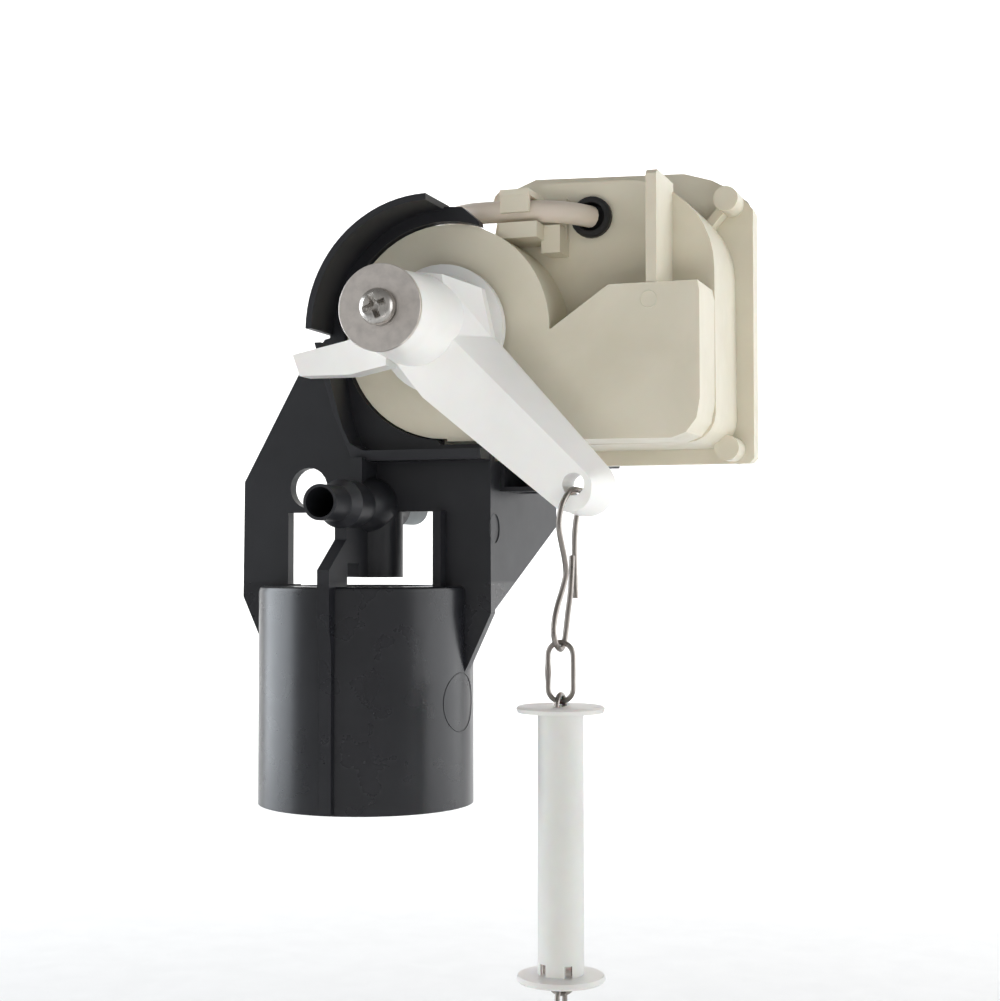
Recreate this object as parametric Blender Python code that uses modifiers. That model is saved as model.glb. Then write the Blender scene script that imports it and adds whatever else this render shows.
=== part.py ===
"""Motor-driven flush actuator for a toilet cistern.

A black bracket slips over the overflow pipe and carries a gear motor. The motor turns a white arm, and the
arm lifts the chain of the flush valve. +X is to the right, +Y to the back, +Z up. The origin is the centre
of the sleeve's lower mouth. Dimensions below are millimetres, and MM turns them into Blender's metres.
"""
import math

import bmesh
import bpy
from mathutils import Matrix, Vector

MM = 0.001
GAP = 0.3                                   # clearance between pieces that touch
OBJECT_NAME = "flush_actuator"

# Sleeve that slips over the overflow pipe
SLEEVE_R, SLEEVE_BORE_R, SLEEVE_HEIGHT = 22.5, 20.3, 45.1
SLEEVE_LIP_R, SLEEVE_LIP_Z = 16.0, 42.3

# Wing plate, which stands on the sleeve's axis plane
PLATE_HALF = 1.35
WINDOW_X, WINDOW_Z = (-17.7, 15.5), (45.4, 60.6)
HANG_HOLE, HANG_HOLE_R = (-12.9, 65.8), 4.3
WING_RIGHT = 28.0

# Output axis, and the ring wall that shields the gearbox nose
AXIS = (17.8, 98.1)
NOSE_R = 22.45
RING_R, RING_WALL, RING_FRONT = 26.6, 1.35, -12.0
NOSE_HOLE_R = 22.8

# Refill nozzle and spout
NOZZLE = (1.6, 61.8)
SPOUT_R, SPOUT_BOTTOM = 6.1, 46.9

# Shelf and gusset under the housing
SHELF_Z = (69.0, 71.15)
SHELF_BACK = 45.0
FOOT_SCREWS = ((10.0, 20.0, 68.7), (32.5, 12.5, 70.0))     # x, y and the top of the screw head

# Housing
CASE_WALL = 2.0
CASE_STEP_Y = 14.6
CASE_RIGHT, CASE_BOTTOM = 71.6, 74.8
CORNER, CORNER_R = (52.0, 111.0), 19.4
FLANGE_Y = (37.2, 40.2)
COVER_Y = (41.6, 43.8)
COVER_SCREWS = ((70.7, 128.4), (70.7, 74.6), (20.5, 131.0), (11.0, 75.2))
GROMMET = (45.4, 122.8)

# Gear train, from the arm back to the motor
GEAR_MODULE, FINE_MODULE = 0.8, 0.5
OUTPUT_TEETH, SECOND_PINION, SECOND_WHEEL = 40, 12, 30
FIRST_PINION, FIRST_WHEEL, MOTOR_TEETH = 10, 32, 10
SECOND_DIR, FIRST_DIR, MOTOR_DIR = math.radians(-35), math.radians(5), math.radians(25)
PLATE_Y = (17.0, 18.2)
MOTOR_R = 12.0
SHAFT_R = 4.0

# Arm
ARM_FRONT, ARM_BACK = -18.0, -10.0
TIP, TIP_R = (51.2, 64.7), 5.8
TIP_HOLE, TIP_HOLE_R = (50.6, 65.0), 2.2
WASHER_R = 8.4

# Chain
WIRE_R = 0.5
HOOK_PIVOT = (50.3, -14.0, 63.9)
CHAIN_X, CHAIN_Y = 48.0, -17.8
HOOK_BOTTOM_Z = 33.4
LINK_HALF = 2.5
LINK_STEP = 1.35                            # bar to bar, centre to centre, where two links hang together
FIRST_LINK, NEXT_LINK = 11.3, 10.55         # centre-to-centre lengths
LINK_COUNT = 9
FLOAT_TOP, FLOAT_BOTTOM = 22.6, -29.4
FLOAT_R, FLOAT_BORE_R, FLOAT_DISC_R = 4.4, 3.6, 8.5

# Power lead, and the coil of it that is stored behind the housing
LEAD_R = 2.3
COIL, COIL_Y, COIL_R, COIL_HALF = (38.0, 105.0), 52.0, 26.4, 5.4
TAIL_CENTRE, TAIL_R, TAIL_Y, TAIL_END = (50.0, 113.8), 9.6, 49.4, 108.0
PEG_R = 2.4
CONNECTOR = (8.6, 5.2, 14.0)
LEAD_ROUTE = (
    (45.4, 13.1, 122.8), (43.6, 10.2, 122.9), (40.6, 8.0, 123.1), (36.5, 7.0, 123.4), (31.0, 7.0, 123.7),
    (25.0, 7.6, 124.0), (19.5, 9.6, 124.4), (15.0, 13.6, 124.8), (12.4, 19.5, 125.0), (11.6, 27.0, 125.0),
    (11.6, 35.0, 125.0), (11.6, 40.5, 124.8), (11.6, 43.6, 124.1),
)


def polar(centre, radius, angle):
    return (centre[0] + radius * math.cos(angle), centre[1] + radius * math.sin(angle))


def arc(centre, radius, start, end, count):
    """Points along an arc, in degrees, ends included."""
    return [polar(centre, radius, math.radians(start + (end - start) * i / count)) for i in range(count + 1)]


def circle(centre, radius, count=24):
    return arc(centre, radius, 0, 360, count)[:-1]


SECOND = polar(AXIS, GEAR_MODULE * (OUTPUT_TEETH + SECOND_PINION) / 2, SECOND_DIR)
FIRST = polar(SECOND, FINE_MODULE * (SECOND_WHEEL + FIRST_PINION) / 2, FIRST_DIR)
MOTOR = polar(FIRST, FINE_MODULE * (FIRST_WHEEL + MOTOR_TEETH) / 2, MOTOR_DIR)


# ---------------------------------------------------------------- scene and materials

def clear_scene():
    for obj in list(bpy.data.objects):
        bpy.data.objects.remove(obj, do_unlink=True)


def new_collection(name):
    made = bpy.data.collections.new(name)
    bpy.context.scene.collection.children.link(made)
    return made


def material(name, colour, roughness, metallic=0.0):
    made = bpy.data.materials.new(name)
    made.use_nodes = True
    shader = made.node_tree.nodes["Principled BSDF"]
    shader.inputs["Base Color"].default_value = (*colour, 1.0)
    shader.inputs["Roughness"].default_value = roughness
    shader.inputs["Metallic"].default_value = metallic
    return made


clear_scene()
PARTS = new_collection(OBJECT_NAME)
CUTTERS = new_collection("cutters")
BLACK = material("black_plastic", (0.028, 0.029, 0.034), 0.42)
CREAM = material("cream_plastic", (0.62, 0.57, 0.45), 0.45)
WHITE = material("white_plastic", (0.80, 0.79, 0.75), 0.4)
STEEL = material("stainless_steel", (0.55, 0.53, 0.51), 0.3, 1.0)
RUBBER = material("black_rubber", (0.015, 0.015, 0.016), 0.7)
GREY_RUBBER = material("grey_rubber", (0.30, 0.34, 0.35), 0.5)
LEAD = material("lead_jacket", (0.62, 0.52, 0.43), 0.5)
ACETAL = material("gear_acetal", (0.78, 0.76, 0.70), 0.35)
BRASS = material("brass", (0.70, 0.50, 0.22), 0.3, 1.0)
BOARD = material("circuit_board", (0.03, 0.16, 0.07), 0.5)
BRONZE = material("sintered_bronze", (0.50, 0.33, 0.17), 0.5, 1.0)


# ---------------------------------------------------------------- shapes

def place(name, data, finish=None):
    """A new object, in the parts where it has a finish and in the cutters where it has none."""
    obj = bpy.data.objects.new(name, data)
    if finish is None:
        CUTTERS.objects.link(obj)
        obj.hide_render = True
        obj.display_type = "WIRE"
    else:
        PARTS.objects.link(obj)
        data.materials.append(finish)
    return obj


def from_bmesh(name, shape, finish=None):
    data = bpy.data.meshes.new(name)
    bmesh.ops.recalc_face_normals(shape, faces=shape.faces[:])
    shape.to_mesh(data)
    shape.free()
    return place(name, data, finish)


def box(name, x, y, z, finish=None):
    shape = bmesh.new()
    size = Matrix.Diagonal(((x[1] - x[0]) * MM, (y[1] - y[0]) * MM, (z[1] - z[0]) * MM, 1))
    middle = Vector((x[0] + x[1], y[0] + y[1], z[0] + z[1])) * MM / 2
    bmesh.ops.create_cube(shape, size=1, matrix=Matrix.Translation(middle) @ size)
    return from_bmesh(name, shape, finish)


def rod(name, radius, start, end, finish=None, sides=32):
    """A cylinder between two points."""
    a, b = Vector(start) * MM, Vector(end) * MM
    turn = (b - a).to_track_quat("Z", "Y").to_matrix().to_4x4()
    shape = bmesh.new()
    bmesh.ops.create_cone(shape, cap_ends=True, segments=sides, radius1=radius * MM, radius2=radius * MM,
                          depth=(b - a).length, matrix=Matrix.Translation((a + b) / 2) @ turn)
    return from_bmesh(name, shape, finish)


def rod_y(name, radius, centre, y, finish=None, sides=32):
    return rod(name, radius, (centre[0], y[0], centre[1]), (centre[0], y[1], centre[1]), finish, sides)


PLANES = {
    "XZ": Matrix(((1, 0, 0, 0), (0, 0, -1, 0), (0, 1, 0, 0), (0, 0, 0, 1))),
    "YZ": Matrix(((0, 0, 1, 0), (1, 0, 0, 0), (0, 1, 0, 0), (0, 0, 0, 1))),
    "XY": Matrix.Identity(4),
}


def prism(name, plane, outline, low, high, finish=None, holes=()):
    """A flat outline in one plane, with any holes, extruded between two depths along the third axis."""
    curve = bpy.data.curves.new(name, "CURVE")
    curve.dimensions = "2D"
    curve.fill_mode = "BOTH"
    curve.extrude = (high - low) * MM / 2
    for points in (outline, *holes):
        spline = curve.splines.new("POLY")
        spline.points.add(len(points) - 1)
        for point, (u, v) in zip(spline.points, points):
            point.co = (u * MM, v * MM, 0, 1)
        spline.use_cyclic_u = True
    middle = (low + high) * MM / 2
    shift = {"XZ": (0, middle, 0), "YZ": (middle, 0, 0), "XY": (0, 0, middle)}[plane]
    return meshed(name, curve, Matrix.Translation(shift) @ PLANES[plane], finish)


def meshed(name, curve, matrix, finish):
    """A curve's surface as one welded mesh."""
    temporary = bpy.data.objects.new(name + "_curve", curve)
    CUTTERS.objects.link(temporary)
    bpy.context.view_layer.update()
    evaluated = temporary.evaluated_get(bpy.context.evaluated_depsgraph_get())
    data = bpy.data.meshes.new_from_object(evaluated)
    bpy.data.objects.remove(temporary, do_unlink=True)
    data.transform(matrix)
    shape = bmesh.new()
    shape.from_mesh(data)
    bpy.data.meshes.remove(data)
    bmesh.ops.remove_doubles(shape, verts=shape.verts[:], dist=1e-6)
    return from_bmesh(name, shape, finish)


def turned(name, profile, centre, axis="Z", finish=None, steps=48, closed=False):
    """A turned shape. The profile is (radius, position along the axis). It runs down the outer side, from
    the top on a Z axis or from the front on a Y axis, and a closed profile comes back up the bore."""
    data = bpy.data.meshes.new(name)
    flip = -1 if axis == "Y" else 1
    points = [(r * MM, 0, flip * h * MM) for r, h in profile]
    edges = [(i, i + 1) for i in range(len(points) - 1)]
    if closed:
        edges.append((len(points) - 1, 0))
    data.from_pydata(points, edges, [])
    obj = place(name, data, finish)
    if axis == "Y":
        obj.rotation_euler = (math.pi / 2, 0, 0)
        obj.location = (centre[0] * MM, 0, centre[1] * MM)
    else:
        obj.location = (centre[0] * MM, centre[1] * MM, 0)
    screw = obj.modifiers.new("turn", "SCREW")
    screw.axis = "Z"
    screw.steps = screw.render_steps = steps
    screw.use_merge_vertices = True
    screw.merge_threshold = 1e-6
    screw.use_smooth_shade = False
    return obj


def boolean(target, tool, operation):
    step = target.modifiers.new(tool.name, "BOOLEAN")
    step.operation = operation
    step.object = tool
    step.solver = "EXACT"


def add(target, *tools):
    for tool in tools:
        boolean(target, tool, "UNION")


def cut(target, *tools):
    for tool in tools:
        boolean(target, tool, "DIFFERENCE")


def wire(name, points, radius, finish, closed=False):
    """A round wire through points."""
    curve = bpy.data.curves.new(name, "CURVE")
    curve.dimensions = "3D"
    curve.bevel_depth = radius * MM
    curve.bevel_resolution = 2
    curve.use_fill_caps = True
    spline = curve.splines.new("POLY")
    spline.points.add(len(points) - 1)
    for point, place_mm in zip(spline.points, points):
        point.co = (*(Vector(place_mm) * MM), 1)
    spline.use_cyclic_u = closed
    return place(name, curve, finish)


def smooth(points, step):
    """Points about a step apart, along a smooth curve through the given ones."""
    route = [Vector(p) for p in points]
    ends = [route[0] * 2 - route[1]] + route + [route[-1] * 2 - route[-2]]
    made = []
    for i in range(1, len(ends) - 2):
        a, b, c, d = ends[i - 1:i + 3]
        count = max(1, round((c - b).length / step))
        for k in range(count):
            t = k / count
            made.append(0.5 * ((2 * b) + (c - a) * t + (2 * a - 5 * b + 4 * c - d) * t ** 2
                               + (3 * b - a - 3 * c + d) * t ** 3))
    return made + [route[-1]]


def pivot(name, point, pieces):
    """An empty on a joint's axis, which carries the pieces that turn there."""
    empty = bpy.data.objects.new(name, None)
    empty.location = Vector(point) * MM
    PARTS.objects.link(empty)
    for piece in pieces:
        piece.parent = empty
        piece.matrix_parent_inverse = Matrix.Translation(-empty.location)
    return empty


# ---------------------------------------------------------------- bracket

def plate_outline():
    """The wing plate: two wings, the ring's back edge, and an opening for the gearbox nose."""
    ring = arc(AXIS, RING_R - RING_WALL / 2, 91, 181, 16)
    nose = arc(AXIS, NOSE_HOLE_R, 70, 266, 30)
    left = [(-9.3, 97.4), (-10.9, 95.3), (-15.4, 90.1), (-28.1, 67.3), (-28.3, 42.7), (-24.4, 34.2), (-20.8, 26.0)]
    right = [(20.8, 24.4), (23.3, 29.2), (28.15, 39.6), (WING_RIGHT, 74.4), (17.0, 74.4)]
    tip = [(25.4, 120.5), (21.7, 123.7)]
    return ring + left + right + nose[::-1] + tip


def ring_wall():
    outer = arc(AXIS, RING_R, 90, 179.5, 20)
    inner = arc(AXIS, RING_R - RING_WALL, 179.5, 90, 20)
    return prism("ring_wall", "XZ", outer + inner, RING_FRONT, PLATE_HALF + 0.2)


def lower_wall():
    """The straight wall below the ring's gap, and the shelf lip it runs into. Its front edge slopes back."""
    outer = [(-6.9, 95.4), (-5.6, 89.0), (-4.1, 81.5), (-0.3, 71.0), (27.9, 71.0), (27.9, 73.1)]
    inner = [(2.2, 73.1), (-0.6, 74.6), (-2.0, 77.9), (-2.9, 81.7), (-4.3, 89.1), (-5.5, 95.4)]
    wall = prism("lower_wall", "XZ", outer + inner, RING_FRONT - 2, PLATE_HALF + 0.2)
    slope = [(-30.0, 60.0), (-4.9, 60.0), (-12.4, 99.0), (-30.0, 99.0)]
    cut(wall, prism("lower_wall_slope", "YZ", slope, -12, 40))
    return wall


def front_rib():
    outline = [
        (-21.0, 0.25), (-23.8, 0.25), (-23.8, 32.5), (-24.9, 37.5), (-24.9, 48.5), (-16.6, 54.6),
        (-16.6, 60.0), (-12.5, 62.0), (-3.0, 62.0), (-3.0, 47.2), (-10.3, 47.2), (-10.3, 49.8),
        (-16.2, 49.8), (-16.2, 43.2), (-21.0, 43.0),
    ]
    return prism("front_rib", "YZ", outline, 0.1, 2.7)


def refill_elbow():
    profile = [
        (0, -27.0), (3.6, -27.0), (3.6, -19.6), (4.2, -18.6), (4.95, -17.2), (4.95, -12.0), (4.3, -11.7),
        (4.3, -9.2), (5.2, -7.6), (5.9, -5.2), (5.9, 5.0), (4.7, 5.8), (4.7, 9.0), (0, 9.0),
    ]
    barrel = turned("elbow_barrel", profile, NOZZLE, "Y", steps=32)
    spout = rod("elbow_spout", SPOUT_R, (NOZZLE[0], 0, SPOUT_BOTTOM), (NOZZLE[0], 0, NOZZLE[1]))
    return barrel, spout


def bracket():
    body = prism("mounting_bracket", "XZ", plate_outline(), -PLATE_HALF, PLATE_HALF, BLACK, holes=(
        [(WINDOW_X[0], WINDOW_Z[0]), (WINDOW_X[0], WINDOW_Z[1]), (WINDOW_X[1], WINDOW_Z[1]),
         (WINDOW_X[1], WINDOW_Z[0])],
        circle(HANG_HOLE, HANG_HOLE_R)))
    top = SLEEVE_HEIGHT
    sleeve = turned("sleeve", [(0, top), (SLEEVE_R - 0.9, top), (SLEEVE_R - 0.25, top - 0.35),
                               (SLEEVE_R, top - 1.1), (SLEEVE_R, 0), (0, 0)], (0, 0), steps=64)
    fin = prism("elbow_fin", "YZ", [(-9.0, 65.0), (-9.0, 71.6), (-0.5, 71.6), (-0.5, 65.0)], 0.1, 2.7)
    lip = box("window_rib", (16.55, 18.3), (-4.5, -0.5), (44.0, 60.6))
    gusset = prism("gusset", "YZ", [(0.5, 39.6), (SHELF_BACK, 58.2), (SHELF_BACK, 70.9), (0.5, 70.9)],
                   25.6, WING_RIGHT - 0.1)
    shelf = box("shelf", (-1.0, 27.0), (0.5, SHELF_BACK - 0.1), SHELF_Z)
    tray = box("tray", (27.0, 37.0), (5.0, 20.0), (64.8, SHELF_Z[1] - 0.05))
    add(body, sleeve, ring_wall(), lower_wall(), front_rib(), *refill_elbow(), fin, lip, gusset, shelf, tray)
    bore = turned("sleeve_bore", [(0, WINDOW_Z[0] + 0.5), (SLEEVE_LIP_R, WINDOW_Z[0] + 0.5),
                                  (SLEEVE_LIP_R, SLEEVE_LIP_Z), (SLEEVE_BORE_R, SLEEVE_LIP_Z),
                                  (SLEEVE_BORE_R, -5), (0, -5)], (0, 0), steps=64)
    add(bore, rod_y("nozzle_bore", 3.0, NOZZLE, (-30, -1)),
        rod("spout_bore", 4.75, (NOZZLE[0], 0, 45.3), (NOZZLE[0], 0, NOZZLE[1] - 0.3)),
        rod_y("rear_port", 3.8, NOZZLE, (2.0, 12)),
        box("tray_hollow", (28.9, 36.1), (4.0, 19.1), (65.7, 70.3)),
        rod("tray_access", 3.0, (FOOT_SCREWS[1][0], FOOT_SCREWS[1][1], 63),
            (FOOT_SCREWS[1][0], FOOT_SCREWS[1][1], 67), sides=20))
    for i, (x, y, _) in enumerate(FOOT_SCREWS):
        add(bore, rod(f"foot_hole_{i}", 1.7, (x, y, 68), (x, y, 72), sides=16))
    cut(body, bore)
    return body


def refill_port_plug():
    profile = [(0, 4.6), (3.5, 4.6), (3.5, 22.3), (2.9, 23.0), (0, 23.0)]
    return turned("refill_port_plug", profile, NOZZLE, "Y", GREY_RUBBER, steps=24)


# ---------------------------------------------------------------- housing

def case_rim(inset):
    """The rear body's outline: the gearbox nose's circle joined to a rounded block."""
    radius = NOSE_R - inset
    left, right, bottom = 28.5 + inset, CASE_RIGHT - inset, CASE_BOTTOM + inset
    start = math.degrees(math.acos((left - AXIS[0]) / radius))
    nose = arc(AXIS, radius, start, 266, 30)
    foot_r = 6.0 - min(inset, 3.0)
    foot = arc((right - foot_r, bottom + foot_r), foot_r, -90, 0, 5)
    corner = arc(CORNER, CORNER_R - inset, 0, 90, 10)
    top = CORNER[1] + CORNER_R - inset
    shoulder = [(left + 5.5, top + 0.5), (left + 1.5, top - 1.2), (left, top - 5.0)]
    return nose + [(20.0, bottom)] + foot + corner + shoulder


def block_outline(inset):
    """The raised front block, with the notch between it and the gearbox nose."""
    i = inset
    return [
        (18.0, 75.1 + i), (65.6 - i / 2, CASE_BOTTOM + i), (68.6 - i, 75.9 + i), (70.7 - i, 78.6 + i / 2),
        (71.4 - i, 82.5), (71.4 - i, 103.9 - i / 2), (71.0 - i, 106.1 - i), (52.7 + i / 3, 106.1 - i),
        (40.6 + i / 5, 97.7 - 1.2 * i), (30.0, 97.7 - 1.2 * i), (18.5, 92.0),
    ]


def flange_outline(inset=0.0):
    i = inset
    nose = arc(AXIS, 24.8 - i, 96, 248, 20)
    return [
        (74.3 - i, 71.6 + i), (75.3 - i, 72.6 + i), (75.3 - i, 127.2), (72.0 - i, 131.0 - i), (66.2, 134.2 - i),
        (60.0, 136.1 - i), (25.5, 137.3 - i), (20.0 + i / 2, 135.2 - i), (16.7 + i, 131.0 - i / 2),
    ] + nose + [(8.0 + i, 71.6 + i)]


def cable_clip():
    base = box("clip_base", (28.3, 36.6), (3.0, 15.5), (117.4, 120.7))
    side = box("clip_side", (36.0, 40.1), (8.0, 15.4), (114.8, 120.6))
    bridge = box("clip_bridge", (28.5, 34.9), (2.9, 15.3), (126.3, 127.6))
    tab = box("clip_tab", (28.6, 34.8), (3.0, 4.3), (122.8, 127.5))
    post = box("clip_post", (34.4, 40.2), (12.4, 15.2), (118.0, 127.0))
    return base, side, bridge, tab, post


def boss_web(name, boss, towards):
    """A thin web from a flange boss to the body's wall."""
    a, b = Vector(boss), Vector(towards)
    side = (b - a).normalized().orthogonal() * 0.9
    outline = [tuple(a + side), tuple(b + side), tuple(b - side), tuple(a - side)]
    return prism(name, "XZ", outline, 33.0, 38.0)


def gear_case():
    body = prism("gear_case", "XZ", case_rim(0), CASE_STEP_Y, 38.0, CREAM)
    nose = rod_y("case_nose", NOSE_R - 0.02, AXIS, (0, 16.0), sides=60)
    block = prism("case_block", "XZ", block_outline(0), 0.0, 15.6)
    flange = prism("case_flange", "XZ", flange_outline(), *FLANGE_Y)
    fin = prism("case_fin", "YZ", [(0.4, 105.0), (0.4, 128.2), (1.4, 129.1), (15.5, 129.1), (15.5, 105.0)],
                60.4, 62.6)
    add(body, nose, block, flange, fin, *cable_clip())
    for i, centre in enumerate(COVER_SCREWS):
        add(body, rod_y(f"case_boss_{i}", 2.7, centre, (29.8, 38.6), sides=20))
    add(body, boss_web("web_top", COVER_SCREWS[0], (64.0, 121.0)),
        boss_web("web_bottom", COVER_SCREWS[1], (66.5, 79.0)))
    for i, (x, y, _) in enumerate(FOOT_SCREWS):
        add(body, rod(f"case_foot_{i}", 3.2, (x, y, SHELF_Z[1] + GAP), (x, y, 78.4 if i == 0 else 75.9),
                      sides=20))
    cut(body,
        rod_y("nose_cavity", NOSE_R - CASE_WALL, AXIS, (CASE_WALL, 17.4), sides=60),
        prism("block_cavity", "XZ", block_outline(CASE_WALL), CASE_WALL, 17.2),
        prism("rear_cavity", "XZ", case_rim(CASE_WALL + 0.05), CASE_STEP_Y + CASE_WALL, 44.0))
    add(body, rod_y("bearing_boss", 9.0, AXIS, (1.0, 3.8), sides=28))
    cut(body, rod_y("bearing_hole", 6.8, AXIS, (-2.0, 6.0), sides=28),
        rod_y("grommet_hole", 3.6, GROMMET, (13.0, 20.0), sides=20))
    for i, centre in enumerate(COVER_SCREWS):
        cut(body, rod_y(f"case_boss_bore_{i}", 1.6, centre, (31.5, 44.0), sides=12))
    for i, (x, y, _) in enumerate(FOOT_SCREWS):
        cut(body, rod(f"case_foot_bore_{i}", 1.6, (x, y, 70.0), (x, y, 77.4 if i == 0 else 75.6), sides=12))
    return body


def back_cover():
    cover = prism("back_cover", "XZ", flange_outline(0.25), *COVER_Y, CREAM,
                  holes=[circle(c, 1.8, 14) for c in COVER_SCREWS])
    peg_z = COIL[1] + COIL_R - COIL_HALF - PEG_R - 0.4
    peg = rod("coil_peg", PEG_R, (COIL[0], 43.0, peg_z), (COIL[0], 59.7, peg_z), sides=20)
    stop = box("coil_peg_stop", (COIL[0] - 2.3, COIL[0] + 2.3), (57.9, 59.6), (peg_z, peg_z + 7.0))
    add(cover, peg, stop)
    return cover


def cover_gasket():
    return prism("cover_gasket", "XZ", case_rim(0.2), FLANGE_Y[1] + GAP, COVER_Y[0] - GAP, RUBBER,
                 holes=[case_rim(1.9)])


def screw(name, start, direction, head_r, head_h, shank_r, length, finish=STEEL):
    """A pan-head screw. Its head rests at start, and its shank runs along the direction."""
    profile = [(0, -head_h), (head_r * 0.62, -head_h * 0.93), (head_r * 0.9, -head_h * 0.6),
               (head_r, -head_h * 0.2), (head_r, 0), (shank_r, 0), (shank_r, length - shank_r),
               (0, length)]
    turn = Vector(direction).to_track_quat("Z", "Y").to_matrix().to_4x4()
    data = bpy.data.meshes.new(name)
    data.from_pydata([(r * MM, 0, h * MM) for r, h in profile[::-1]], [(i, i + 1) for i in range(7)], [])
    obj = place(name, data, finish)
    obj.matrix_world = Matrix.Translation(Vector(start) * MM) @ turn
    spin = obj.modifiers.new("turn", "SCREW")
    spin.axis = "Z"
    spin.steps = spin.render_steps = 20
    spin.use_merge_vertices = True
    spin.merge_threshold = 1e-6
    spin.use_smooth_shade = False
    for i, angle in enumerate((20, 110)):
        slot = bmesh.new()
        size = Matrix.Diagonal((head_r * 1.1 * MM, head_r * 0.24 * MM, head_h * 1.2 * MM, 1))
        bmesh.ops.create_cube(slot, size=1, matrix=Matrix.Rotation(math.radians(angle), 4, "Z") @ size)
        recess = from_bmesh(f"{name}_recess_{i}", slot)
        recess.matrix_world = obj.matrix_world @ Matrix.Translation((0, 0, -head_h * MM))
        cut(obj, recess)
    return obj


def housing_screws():
    made = []
    for i, (x, z) in enumerate(COVER_SCREWS, 1):
        made.append(screw(f"cover_screw_{i}", (x, COVER_Y[1] + GAP, z), (0, -1, 0), 2.9, 1.8, 1.25, 11.5))
    for i, (x, y, top) in enumerate(FOOT_SCREWS, 1):
        made.append(screw(f"bracket_screw_{i}", (x, y, top), (0, 0, 1), 2.7, 1.8, 1.25, 75.2 - top))
    return made


def grommet():
    profile = [(0, 15.4), (3.0, 15.4), (3.0, 12.4), (3.9, 12.4), (4.4, 12.9), (4.4, 14.3), (3.3, 14.3),
               (3.3, 16.9), (4.3, 17.0), (4.3, 18.0), (0, 18.0)]
    return turned("cable_grommet", profile, GROMMET, "Y", RUBBER, steps=24)


# ---------------------------------------------------------------- gear train and motor

def gear_outline(centre, teeth, module, phase):
    """Teeth with straight flanks. One tooth points along the phase angle."""
    radius, pitch = module * teeth / 2, 2 * math.pi / teeth
    root, tip = radius - 1.1 * module, radius + 0.8 * module
    outline = []
    for i in range(teeth):
        middle = phase + i * pitch
        for r, offset in ((root, -0.27), (tip, -0.11), (tip, 0.11), (root, 0.27)):
            outline.append(polar(centre, r, middle + offset * pitch))
    return outline


def gear(name, centre, teeth, module, phase, y, finish=None, bore=1.3):
    return prism(name, "XZ", gear_outline(centre, teeth, module, phase), *y, finish,
                 holes=[circle(centre, bore, 20)])


def facing(direction, teeth):
    """The phase that puts a gap between teeth opposite a direction."""
    return direction + math.pi + math.pi / teeth


def gear_train():
    output = gear("output_gear", AXIS, OUTPUT_TEETH, GEAR_MODULE, SECOND_DIR, (4.2, 8.8), ACETAL,
                  bore=SHAFT_R + GAP)
    second = gear("second_gear", SECOND, SECOND_WHEEL, FINE_MODULE, FIRST_DIR, (9.5, 12.4), ACETAL)
    add(second, gear("second_gear_pinion", SECOND, SECOND_PINION, GEAR_MODULE,
                     facing(SECOND_DIR, SECOND_PINION), (3.4, 9.7)))
    first = gear("first_gear", FIRST, FIRST_WHEEL, FINE_MODULE, MOTOR_DIR, (13.2, 16.0), ACETAL)
    add(first, gear("first_gear_pinion", FIRST, FIRST_PINION, FINE_MODULE,
                    facing(FIRST_DIR, FIRST_PINION), (9.2, 13.4)))
    pinion = prism("motor_pinion", "XZ", gear_outline(MOTOR, MOTOR_TEETH, FINE_MODULE,
                                                      facing(MOTOR_DIR, MOTOR_TEETH)), 12.9, 16.4, BRASS)
    add(pinion, rod_y("motor_shaft", 0.9, MOTOR, (12.0, 20.5), sides=12))
    return output, second, first, pinion


def gear_plate_and_axles():
    plate = prism("gear_plate", "XZ", case_rim(2.6), *PLATE_Y, STEEL, holes=[
        circle(AXIS, SHAFT_R + GAP), circle(MOTOR, 3.3, 16), circle(GROMMET, 5.2, 16),
        circle(SECOND, 1.3, 12), circle(FIRST, 1.3, 12)])
    axles = [rod_y("second_axle", 1.0, SECOND, (2.4, 18.0), STEEL, 14),
             rod_y("first_axle", 1.0, FIRST, (2.4, 18.0), STEEL, 14)]
    return [plate, *axles]


def motor():
    can = turned("motor_can", [(0, 21.2), (1.2, 21.2), (1.2, 16.9), (3.0, 16.9), (3.0, 18.6), (11.2, 18.6),
                               (MOTOR_R, 19.5), (MOTOR_R, 36.6), (0, 36.6)],
                 MOTOR, "Y", STEEL, steps=36)
    cap = rod_y("motor_end_cap", 11.4, MOTOR, (36.9, 38.6), BLACK, 28)
    for i, side in enumerate((-6.0, 6.0)):
        x = MOTOR[0] + side
        add(cap, box(f"terminal_{i}", (x - 0.4, x + 0.4), (38.0, 40.6), (MOTOR[1] - 1.5, MOTOR[1] + 1.5)))
    return [can, cap]


def electronics():
    board = box("control_board", (32.0, 66.0), (22.6, 24.2), (106.0, 120.5), BOARD)
    add(board, box("relay", (36.0, 46.0), (24.0, 32.0), (108.0, 117.5)),
        box("board_socket", (50.0, 60.0), (24.0, 30.5), (108.5, 114.0)))
    switch = box("limit_switch", (25.2, 36.8), (19.0, 24.4), (92.0, 103.6), BLACK)
    return [board, switch]


def bearings():
    bushing = turned("shaft_bushing", [(4.3, 1.7), (6.5, 1.7), (6.5, 3.7), (4.3, 3.7)], AXIS, "Y", BRONZE,
                     steps=28, closed=True)
    seal = turned("shaft_seal", [(4.3, 0.2), (6.4, 0.2), (6.4, 1.4), (4.3, 1.4)], AXIS, "Y", RUBBER,
                  steps=28, closed=True)
    return [bushing, seal]


# ---------------------------------------------------------------- arm

def tip_arc(radius_at):
    """The arm's round end. Its radius may change along the arc."""
    count = 12
    points = []
    for i in range(count + 1):
        t = i / count
        points.append(polar(TIP, radius_at(t), math.radians(-129 + (48.5 + 129) * t)))
    return points


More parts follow.
